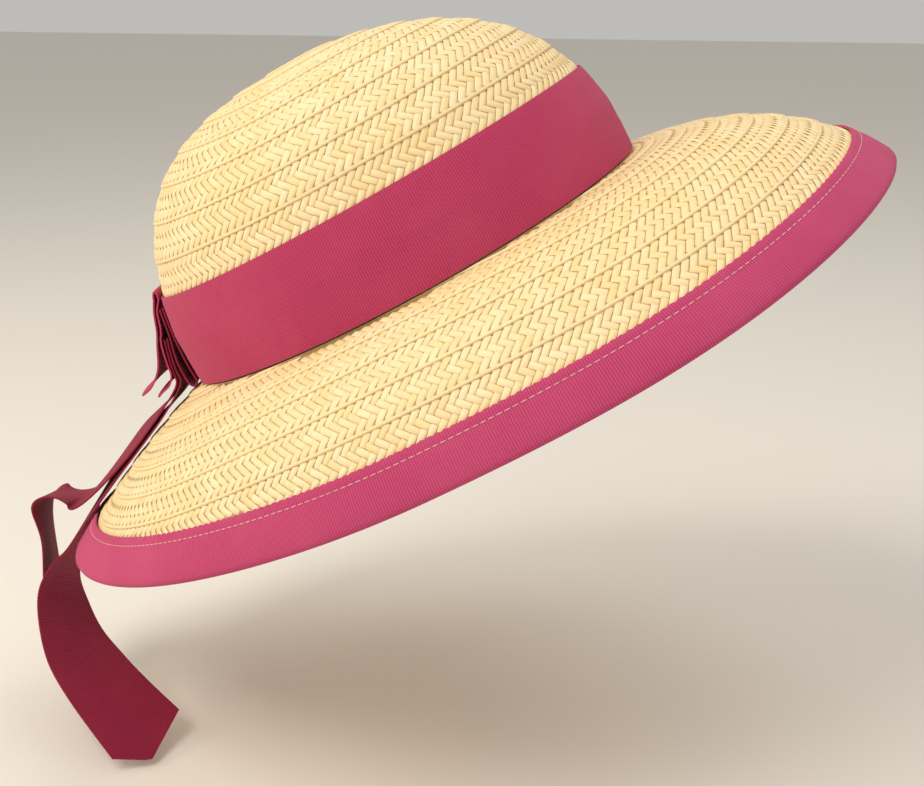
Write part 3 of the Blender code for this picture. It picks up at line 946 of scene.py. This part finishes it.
def make_brim_ground():
    """The brim's wall under its splints, with its edge and its collar."""
    limits = (BRIM_START, brim_wall.length(ground_angles) - RIBBON_THICKNESS - PIECE_GAP)
    rings, lips, across = ground_rings(brim_wall, BRIM_ROW_NUMBERS, True, limits)
    under, under_lips, under_across = ground_rings(brim_wall, BRIM_ROW_NUMBERS, False, limits)
    none = np.zeros(len(ground_angles))
    inside = STRAW_WALL + PIECE_GAP

    def collar(distance, depth):
        return crown_wall.at(ground_angles, distance, -depth)

    seat = head_line(ground_angles) - outward(ground_angles) * inside
    foot = head_line(ground_angles) - outward(ground_angles) * (inside + COLLAR_WALL / 2)
    foot = foot - np.array([0, 0, STRAW_WALL])
    outer_rings = [collar(COLLAR_HEIGHT, inside), collar(COLLAR_HEIGHT / 2, inside), seat]
    inner = inside + COLLAR_CLOTH
    inner_rings = [foot, collar(0.002, inner), collar(COLLAR_HEIGHT, inner)]
    every = outer_rings + rings + under[::-1] + inner_rings
    marks = [none] * 3 + lips + under_lips[::-1] + [none + 1.0] * 3
    spans = [-0.02, -0.012, -0.002] + across + under_across[::-1] + [0.0, 0.002, 0.012]
    return ring_wall(
        "brim_ground",
        every[::-1],
        braid_ground,
        spans[::-1],
        marks={"lip": np.concatenate(marks[::-1])},
    )


brim_ground = make_brim_ground()
print("brim ground", triangles(brim_ground), "triangles")

# %% Brim splints, above and below
BRIM_LIMITS = (0.0010, RIBBON_WIDTH / 2 - 0.001)
brim_plait = plait("brim_plait", brim_wall, BRIM_ROW_NUMBERS, True, BRIM_LIMITS, 21)
brim_under_plait = plait("brim_under_plait", brim_wall, BRIM_ROW_NUMBERS, False, BRIM_LIMITS, 22)

# %% [markdown]
# ## Ribbon band
# One ribbon goes round the foot of the crown. It is smooth but not dead flat: a soft crease runs
# along its middle with a fainter one beside it, and it stands a little off the straw.

# %% Band
band_angles = turns_round(360)
BAND_RINGS = 15
BAND_CREASES = [
    # (share of the band's width, half width of the crease, strength)
    (0.55, 0.16, 1.0),
    (0.27, 0.07, 0.35),
]
BAND_EDGE_DROP = 0.00025
BACK_SHARES = (1.0, 0.75, 0.5, 0.25, 0.0)
BACK_LIFT = 0.0002


def make_band():
    """The band as a thin closed wall that follows the crown."""
    rings, across = [], []
    seat = PIECE_GAP * 2
    for share in np.linspace(0, 1, BAND_RINGS):
        crease = sum(
            strength * math.exp(-(((share - middle) / half) ** 2))
            for middle, half, strength in BAND_CREASES
        )
        ripple = 0.25 * np.sin(band_angles * 5 + share * 4) * math.sin(math.pi * share)
        edge = 0.0 if 0 < share < 1 else 1.0
        swell = BAND_CREASE * np.clip(crease * (0.75 + ripple), 0, 1.0)
        height = PIECE_GAP + RIBBON_THICKNESS + swell - edge * BAND_EDGE_DROP
        rings.append(crown_wall.at(band_angles, seat + share * RIBBON_WIDTH, height))
        across.append(share * RIBBON_WIDTH)
    for share in BACK_SHARES:
        distance = seat + share * RIBBON_WIDTH
        rings.append(crown_wall.at(band_angles, distance, PIECE_GAP + BACK_LIFT))
        across.append(RIBBON_WIDTH * 2 - share * RIBBON_WIDTH)
    return ring_wall("ribbon_band_cloth", rings, band_finish, across)


band = make_band()
print("band", triangles(band), "triangles")

# %% [markdown]
# ## Binding and top stitching
# A second ribbon is folded over the brim's edge and sewn through. Its inner edge is pulled into
# tiny scallops by the seam, so the section's edge moves in and out as it goes round. The stitches
# are one small capsule, placed along a curve by Geometry Nodes.

# %% Binding
binding_angles = turns_round(1200)
SCALLOP = 0.00022
SCALLOPS_ROUND = 290
SEAM_INSET = 0.0035
SEAM_GROOVE = 0.00022


def make_binding():
    """The folded ribbon round the brim's edge."""
    leg = RIBBON_WIDTH / 2
    outer, inner = PIECE_GAP + RIBBON_THICKNESS, PIECE_GAP
    under = -STRAW_WALL
    scallop = SCALLOP * np.sin(binding_angles * SCALLOPS_ROUND)
    half = [
        # (distance in from the brim's edge, height above its upper face, scalloped)
        (leg, inner, 1),
        (leg + 0.00005, outer - 0.0003, 1),
        (leg - 0.0006, outer, 1),
        (leg - 0.0025, outer - 0.00004, 0),
        (leg - SEAM_INSET, outer - SEAM_GROOVE, 0),
        (leg - 0.0045, outer - 0.00004, 0),
        (leg * 0.55, outer, 0),
        (leg * 0.3, outer, 0),
        (0.0022, outer * 0.98, 0),
        (0.0008, outer * 0.75, 0),
        (0.0, under * 0.12, 0),
    ]
    mirrored = [(from_edge, under - height, wavy) for from_edge, height, wavy in half[::-1]]
    lining = [
        (leg * 0.5, under - inner, 0),
        (RIBBON_THICKNESS, under - inner, 0),
        (RIBBON_THICKNESS, inner, 0),
        (leg * 0.5, inner, 0),
    ]
    section = half + [(-0.0001, under * 0.5, 0)] + mirrored + lining
    width = brim_wall.length(binding_angles)
    rings, across = [], []
    reached, before = 0.0, None
    for from_edge, height, wavy in section:
        distance = width - from_edge + scallop * wavy
        over = np.minimum(width, distance)
        rings.append(
            brim_wall.at(binding_angles, over, height)
            + beyond_edge(binding_angles) * np.maximum(distance - width, 0)[:, None]
        )
        if before is not None:
            reached += math.hypot(from_edge - before[0], height - before[1])
        before = (from_edge, height)
        across.append(reached)
    return ring_wall("brim_binding_cloth", rings[::-1], binding_finish, across[::-1])


def beyond_edge(angle):
    """The direction in which the brim would go on past its edge."""
    width = brim_wall.length(angle)
    return unit(brim_wall.at(angle, width) - brim_wall.at(angle, width - 0.001))


binding = make_binding()
print("binding", triangles(binding), "triangles")

# %% Top stitching
STITCH_FROM_EDGE = RIBBON_WIDTH / 2 - SEAM_INSET


def build_stitch_tree():
    """A curve in, a row of realized stitches out."""
    sizes = [("Stitch Pitch", 0.0030), ("Stitch Length", 0.0027), ("Thread Radius", 0.00023)]
    tree, given = new_tree("top_stitching", "Seam", sizes, "Stitches")
    inputs = {"Curve": given["Seam"], "Length": given["Stitch Pitch"]}
    spaced = add_node(tree, "GeometryNodeResampleCurve", {"mode": "LENGTH"}, inputs).outputs[0]
    inputs = {"Vector": add_node(tree, "GeometryNodeInputTangent").outputs[0]}
    facing = add_node(tree, "FunctionNodeAlignRotationToVector", {"axis": "X"}, inputs).outputs[0]
    inputs = {"Segments": 8, "Rings": 5, "Radius": 1.0}
    body = add_node(tree, "GeometryNodeMeshUVSphere", inputs=inputs).outputs["Mesh"]
    inputs = {slot: given["Thread Radius"] for slot in (1, 2)}
    inputs[0] = times(tree, given["Stitch Length"], 0.5)
    lengths = add_node(tree, "ShaderNodeCombineXYZ", inputs=inputs).outputs[0]
    end_tree(tree, spaced, body, facing, lengths, thread_finish)
    return tree


def stitch_row(name, height):
    """A closed row of stitches on the binding, above or below the brim."""
    distance = brim_wall.length(band_angles) - STITCH_FROM_EDGE
    points = tipped(brim_wall.at(band_angles, distance, height))
    curve = bpy.data.curves.new(name, "CURVE")
    curve.dimensions = "3D"
    line = curve.splines.new("POLY")
    line.points.add(len(points) - 1)
    for point, place in zip(line.points, points):
        point.co = (*place, 1.0)
    line.use_cyclic_u = True
    seam = new_object(name, curve)
    modifier = seam.modifiers.new("stitches", "NODES")
    modifier.node_group = stitch_tree
    made = baked(seam, name)
    print(name, triangles(made), "triangles")
    return made


stitch_tree = build_stitch_tree()
stitch_height = PIECE_GAP + RIBBON_THICKNESS - 0.0001
upper_stitches = stitch_row("upper_stitching", stitch_height)
lower_stitches = stitch_row("lower_stitching", -STRAW_WALL - stitch_height)

# %% [markdown]
# ## Bow and tails
# The bow is a folded loop and an outer flap, pinched together at the top. The tails come out from
# between them, lie over the back of the brim and hang from its edge. Each is a strip along a smooth
# line, with a thickness, a turn about that line, and a chart in metres for its ribs.

# %% Tables of folds
LOOP_PLEAT = [
    # (out in ribbon layers, down as a share of the ribbon's width)
    (0.70, 0.12),
    (0.70, 0.31),
    (0.73, 0.45),
    (0.80, 0.67),
    (0.95, 0.83),
    (1.00, 0.95),
    (1.45, 1.00),
    (2.42, 1.02),
    (3.40, 1.00),
    (3.85, 0.95),
    (3.75, 0.83),
    (3.35, 0.67),
    (2.10, 0.45),
    (1.78, 0.31),
    (1.74, 0.12),
]
FLAP_PLEAT = [
    # (out in ribbon layers, down as a share of the ribbon's width)
    (19.80, 0.905),
    (16.00, 0.865),
    (12.80, 0.785),
    (9.90, 0.670),
    (6.90, 0.450),
    (5.20, 0.310),
    (3.95, 0.120),
    (3.00, 0.020),
    (2.25, -0.050),
    (1.60, -0.082),
    (1.05, -0.050),
    (1.40, 0.020),
    (2.80, 0.120),
    (3.80, 0.310),
    (5.45, 0.450),
    (6.75, 0.670),
    (7.50, 0.810),
    (9.90, 0.910),
    (13.30, 0.955),
    (15.50, 0.990),
]
TAIL_IN_BOW = [
    # (near tail out, far tail out, down)
    (3.20, 4.20, 0.45),
    (4.45, 5.45, 0.67),
    (5.00, 6.05, 0.83),
    (5.70, 7.10, 0.95),
]
TAIL_ON_BRIM = [
    # (share of the width, lift as a share of the ribbon's thickness, twist in degrees)
    (0.22, 2.4, 0.0),
    (0.36, 2.5, -3.0),
    (0.52, 3.4, -6.0),
    (0.68, 3.7, -6.0),
    (0.84, 3.6, -4.0),
    (0.97, 3.7, -2.0),
]
# The far tail lies on the near one for this many of these places, this many layers higher
FAR_TAIL_LEAVES = 3
TAIL_LAYER = 1.4
NEAR_TAIL = [
    # (out, to the wearer's left, down, twist in degrees)
    (0.077, 0.014, 0.071, 7.0),
    (0.117, -0.046, 0.200, 7.0),
    (0.086, -0.116, 0.323, 8.0),
    (0.006, -0.196, 0.455, 11.0),
    (-0.117, -0.276, 0.561, 14.0),
    (-0.248, -0.346, 0.654, 19.0),
    (-0.374, -0.406, 0.741, 26.0),
]
FAR_TAIL = [
    # (out, to the wearer's left, down, twist in degrees)
    (-0.022, 0.064, -0.186, 2.0),
    (0.045, 0.064, -0.158, 12.0),
    (0.112, 0.058, -0.166, 18.0),
    (0.178, 0.052, -0.172, 11.0),
    (0.208, 0.046, -0.100, -7.0),
    (0.210, 0.044, -0.005, -13.0),
    (0.210, 0.040, 0.110, -12.0),
    (0.209, 0.034, 0.250, -9.0),
    (0.214, 0.034, 0.380, -5.0),
]
# The cut end of a tail: place across the ribbon and how far it runs on, as shares of its width
TAIL_END = [(-0.5, 0.0), (0.16, 0.30), (0.5, 0.02)]
# How much the tails bend across, as shares of the head's roundness
CURLS_IN_BOW = [1.0, 0.83, 0.67, 0.5]
CURL_ON_BRIM = 0.5

# %% The bow's own directions


def band_face(share):
    """A point of the band's outer face at the bow, a share of its width down from its top."""
    swell = BAND_CREASE * 4 * share * (1 - share)
    distance = PIECE_GAP * 2 + RIBBON_WIDTH * (1 - share)
    return tipped(crown_wall.at(BOW_ANGLE, distance, PIECE_GAP + RIBBON_THICKNESS + swell))


def bow_axes():
    """Directions down the band, across it, out from it and square to the head's oval."""
    down = unit(band_face(1.0) - band_face(0.0))
    facing = outward(np.array(BOW_ANGLE))
    across = np.array([-facing[1], facing[0], 0.0])
    out = unit(np.cross(across, down))
    if out @ facing < 0:
        out = -out
    return down, across, out, tipped(facing)


bow_down, bow_across, bow_out, bow_from_head = bow_axes()


def bow_point(layers, share):
    """A point of the bow: ribbon layers out from the band, a share of its width down it."""
    top = band_face(0.0)
    bulge = (band_face(0.5) - top) @ bow_out
    spacing = RIBBON_THICKNESS + PIECE_GAP
    swell = bulge * 4 * share * (1 - share) if 0 < share < 1 else 0.0
    return top + bow_down * share * RIBBON_WIDTH + bow_out * (layers * spacing + swell)


def smooth_line(stations, steps):
    """Rows of numbers read from a smooth curve through the stations."""
    stations = np.array(stations, float)
    padded = np.vstack([2 * stations[0] - stations[1], stations, 2 * stations[-1] - stations[-2]])
    rows = []
    for index in range(1, len(padded) - 2):
        before, here, there, beyond = padded[index - 1 : index + 3]
        for share in np.linspace(0, 1, steps, endpoint=False):
            first = (there - before) * share
            second = (2 * before - 5 * here + 4 * there - beyond) * share**2
            third = (3 * here - before - 3 * there + beyond) * share**3
            rows.append(0.5 * (2 * here + first + second + third))
    rows.append(stations[-1])
    return np.array(rows)


# %% A strip of ribbon along a line
STRIP_COLUMNS = 14
SOFT_PASSES = 14
CLOTH_THICKNESS = 0.0007
LINE_STEPS = 9
PINCH_IN_TAIL = 0.75
# A tail reaches its full width in the first third of its line, and its cut fills the last eighth
WIDENING = 3
CUT_PART = 8


def strip(name, path, across, widths, curls, cuts, finish):
    """A ribbon as thin closed cloth along a path. Returns it and its length."""
    forward = unit(np.gradient(path, axis=0))
    across = unit(across - forward * (across * forward).sum(axis=1, keepdims=True))
    facing = np.cross(forward, across)
    columns = np.linspace(-0.5, 0.5, STRIP_COLUMNS + 1)
    reached = distances(path)
    points, chart = [], []
    for row in range(len(path)):
        for side in (0.5, -0.5):
            for column in columns:
                point = path[row] + across[row] * column * widths[row]
                point = point + curls[row] * (2 * column) ** 2
                point = point + forward[row] * cuts[row] * end_line(column)
                points.append(point + facing[row] * side * CLOTH_THICKNESS)
                reach = reached[row] + cuts[row] * end_line(column)
                chart.append((reach, column * RIBBON_WIDTH))
    wide = STRIP_COLUMNS + 1
    ring = 2 * wide
    order = list(range(wide)) + list(range(ring - 1, wide - 1, -1))
    faces = []
    for row in range(len(path) - 1):
        near, far = row * ring, (row + 1) * ring
        for index in range(ring):
            here, beside = order[index], order[(index + 1) % ring]
            faces.append((near + here, far + here, far + beside, near + beside))
    last = (len(path) - 1) * ring
    for column in range(STRIP_COLUMNS):
        top, bottom = column, column + wide
        faces.append((top, top + 1, bottom + 1, bottom))
        faces.append((last + top, last + bottom, last + bottom + 1, last + top + 1))
    uvs = [chart[index] for face in faces for index in face]
    return put_mesh(name, points, faces, finish, uvs, smooth_below=60), float(reached[-1])


def end_line(column):
    """How far the cut end of a tail runs on at a place across it, as a share of its width."""
    return float(np.interp(column, *zip(*TAIL_END)))


def curl_at(width):
    """How far a ribbon's edges are carried back by the oval's roundness."""
    radius = (HEAD_WIDTH / 2) ** 2 / (HEAD_LENGTH / 2)
    return (width / 2) ** 2 / (2 * radius)


def make_pleat(name, profile, finish):
    """One folded pleat of the bow, pinched at its top and full at its foot."""
    shares = smooth_line(profile, LINE_STEPS)
    path = np.array([bow_point(layers, share) for layers, share in shares])
    fullness = BOW_PINCH + (1 - BOW_PINCH) * shares[:, 1].clip(0, 1)
    widths = RIBBON_WIDTH * fullness
    curls = np.array([-bow_from_head * curl_at(width) for width in widths])
    sideways = np.tile(bow_across, (len(path), 1))
    return strip(name, path, sideways, widths, curls, np.zeros(len(path)), finish)


def soften(lines):
    """Evens out a line, so that bends and twists spread along the ribbon as they do in cloth."""
    lines = lines.copy()
    for _ in range(SOFT_PASSES):
        lines[1:-1] = (lines[:-2] + 2 * lines[1:-1] + lines[2:]) / 4
    return lines


def make_tail(name, layer, lying, hanging, finish):
    """A tail that comes out of the bow, lies over the brim and hangs from its edge."""
    spacing = RIBBON_THICKNESS + PIECE_GAP
    back = float(brim_wall.length(BOW_ANGLE))
    edge = tipped(brim_wall.at(BOW_ANGLE, back))
    rows = []
    for (*outs, share), curl in zip(TAIL_IN_BOW, CURLS_IN_BOW):
        rows.append([*bow_point(outs[layer], share), 0.0, curl])
    for share, lift, twist in lying:
        height = lift * RIBBON_THICKNESS + layer * TAIL_LAYER * spacing
        spot = tipped(brim_wall.at(BOW_ANGLE, share * back, height))
        rows.append([*spot, math.radians(twist), CURL_ON_BRIM])
    for out, left, down, twist in hanging:
        spot = edge + TAIL_DROP * np.array([-out, left, -down])
        rows.append([*spot, math.radians(twist), 0.0])
    lines = soften(smooth_line(rows, LINE_STEPS))
    path, twists, rounds = lines[:, :3], lines[:, 3], lines[:, 4]
    forward = unit(np.gradient(path, axis=0))
    level = unit(bow_across - forward * (forward @ bow_across)[:, None])
    turned = level * np.cos(twists)[:, None] + np.cross(forward, level) * np.sin(twists)[:, None]
    along = np.linspace(0, 1, len(path))
    pinch = np.clip(1 - along * WIDENING, 0, 1) * PINCH_IN_TAIL
    widths = RIBBON_WIDTH * (1 - (1 - BOW_PINCH) * pinch)
    curls = np.array([-bow_from_head * curl_at(w) * r for w, r in zip(widths, rounds)])
    cuts = RIBBON_WIDTH * np.clip(along * CUT_PART - (CUT_PART - 1), 0, 1)
    return strip(name, path, turned, widths, curls, cuts, finish)


# The loop and the tails wear the darker ribbon of painted shade; the flap keeps the band's ribbon.
loop, loop_length = make_pleat("bow_loop_cloth", LOOP_PLEAT, tail_shade_finish)
flap, flap_length = make_pleat("bow_flap_cloth", FLAP_PLEAT, band_finish)
near_tail, near_length = make_tail("tail_near_cloth", 0, TAIL_ON_BRIM, NEAR_TAIL, tail_shade_finish)
far_tail, far_length = make_tail(
    "tail_far_cloth", 1, TAIL_ON_BRIM[:FAR_TAIL_LEAVES], FAR_TAIL, tail_shade_finish
)
print("ribbon lengths", [round(v, 3) for v in (loop_length, flap_length, near_length, far_length)])

# %% [markdown]
# ## Telling the frame what stands for what
# Each dressed piece takes the place of its plain CAD solid and rides on the one body. The table
# lists the record's material slot each is finished in. The ribbons are sheets of cloth; the lengths
# of the band and the binding are worked out and printed.

# %% Replace and ride
bpy.data.objects.remove(splint, do_unlink=True)

DRESSED = [
    # (piece, node it stands for, slot)
    (crown_ground, "crown", "straw"),
    (crown_plait, "crown", "straw"),
    (crown_lining_plait, "crown", "straw"),
    (brim_ground, "brim", "straw"),
    (brim_plait, "brim", "straw"),
    (brim_under_plait, "brim", "straw"),
    (band, "ribbon_band", "band_ribbon"),
    (binding, "brim_binding", "binding_ribbon"),
    (upper_stitches, "brim_binding", "binding_ribbon"),
    (lower_stitches, "brim_binding", "binding_ribbon"),
    (loop, "bow_loop", "tail_ribbon"),
    (flap, "bow_flap", "band_ribbon"),
    (near_tail, "tail_near", "tail_ribbon"),
    (far_tail, "tail_far", "tail_ribbon"),
]
for piece, node, slot in DRESSED:
    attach(piece, "root")
    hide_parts(node)


def ring_length(wall, distance):
    """The length once round a wall, at a distance from the head line."""
    points = wall.at(band_angles, distance)
    return float(np.linalg.norm(np.roll(points, -1, axis=0) - points, axis=1).sum())


band_length = ring_length(crown_wall, RIBBON_WIDTH / 2)
binding_length = ring_length(brim_wall, brim_wall.length(band_angles) - RIBBON_WIDTH / 4)
print("band", round(band_length, 3), "binding", round(binding_length, 3))

# %% [markdown]
# ## Floor and light
# A pale floor lies just below the longest tail. A broad light above and to the left gives the
# straw its glow, and a warmer one lower down lights the bow's side. A large fill stands in front
# on the right, one more light shines from above, and the sky is a soft grey.

# %% Floor and light
FLOOR_GAP = 0.003
FLOOR_REACH = 6.0

floor_mesh = bpy.data.meshes.new("floor")
low = cad_box[0][2] - FLOOR_GAP
corners = ((-1, -1), (1, -1), (1, 1), (-1, 1))
floor_mesh.from_pydata(
    [(x * FLOOR_REACH, y * FLOOR_REACH, low) for x, y in corners], [], [(0, 1, 2, 3)]
)
floor = new_object("floor", floor_mesh)
floor_finish, _, floor_shader = new_finish("floor_paint", 0.9)
floor_shader.inputs["Base Color"].default_value = (0.80, 0.76, 0.70, 1.0)
floor_mesh.materials.append(floor_finish)


def add_light(name, place, aim, size, power, colour):
    """A soft square light that looks at a point."""
    data = bpy.data.lights.new(name, "AREA")
    data.shape = "SQUARE"
    data.size = size
    data.energy = power
    data.color = colour
    lamp = new_object(name, data)
    back = unit(np.array(place, float) - np.array(aim, float))
    side = unit(np.cross([0.0, 0.0, 1.0], back))
    set_pose(lamp, [side, np.cross(back, side), back], place)


add_light("key", (-0.55, -0.75, 1.15), (0, 0, 0), 0.7, 10.5, (1.0, 0.95, 0.86))
add_light("side", (-1.1, -0.30, 0.40), (0, 0, 0), 0.6, 5.0, (1.0, 0.88, 0.70))
add_light("fill", (0.9, -1.1, 0.5), (0, 0, 0), 1.1, 3.0, (1.0, 0.96, 0.92))
add_light("top", (0.35, 0.35, 1.3), (0, 0, 0), 0.9, 5.0, (1.0, 0.98, 0.95))

world = bpy.data.worlds.new("studio")
world.use_nodes = True
sky = world.node_tree.nodes["Background"].inputs
sky["Color"].default_value = (0.86, 0.84, 0.80, 1.0)
sky["Strength"].default_value = 0.6
bpy.context.scene.world = world
bpy.context.scene.view_settings.view_transform = "Standard"
